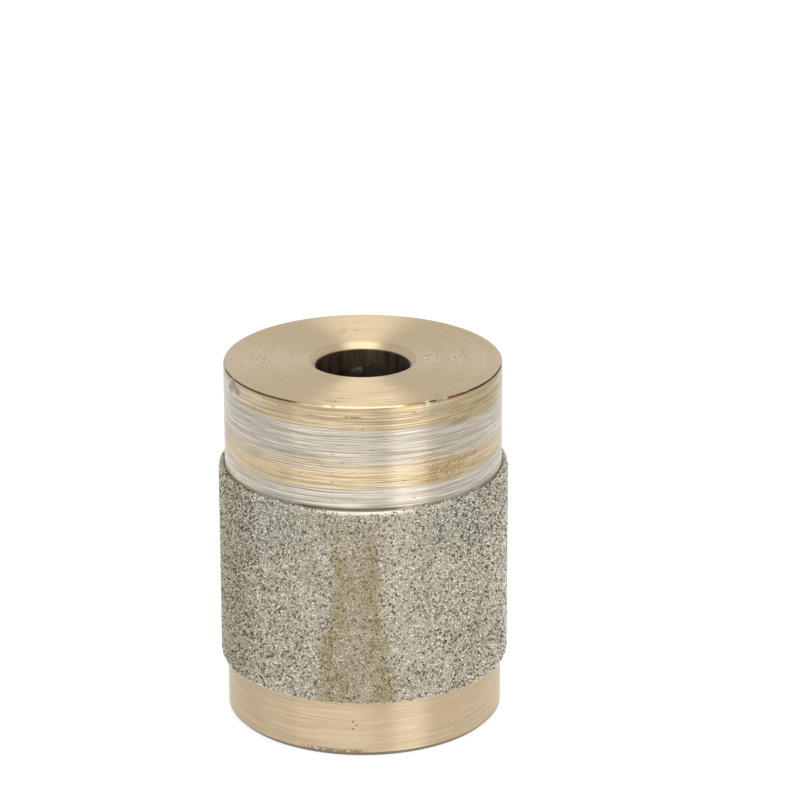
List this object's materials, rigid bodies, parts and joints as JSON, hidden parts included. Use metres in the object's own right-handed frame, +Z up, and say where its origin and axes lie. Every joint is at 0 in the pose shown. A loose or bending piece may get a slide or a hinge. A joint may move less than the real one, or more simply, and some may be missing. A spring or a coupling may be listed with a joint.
{
  "type": "glass grinder bit",
  "caption": "Cylindrical brass glass grinder bit with a bonded diamond grit band, a through bore for the spindle and a radial set screw in its wide collar.",
  "frame": {"origin": "centre of the foot, the flat face that the bit stands on, on the bore's axis", "axes": "+Z up along the bore's axis, +Y towards the set screw; the picture looks along +Y, at the side away from the screw"},
  "size_m": [0.0252, 0.0252, 0.032],
  "materials": {
    "brass": "turned, with a thin worn nickel flash on the wide collar",
    "diamond_grit": "diamond grit bonded in electroplated nickel, rough and speckled",
    "screw_steel": "black oxide"
  },
  "bodies": {
    "root": {"brass_body": "brass", "diamond_band": "diamond_grit", "set_screw": "screw_steel"}
  },
  "joints": []
}
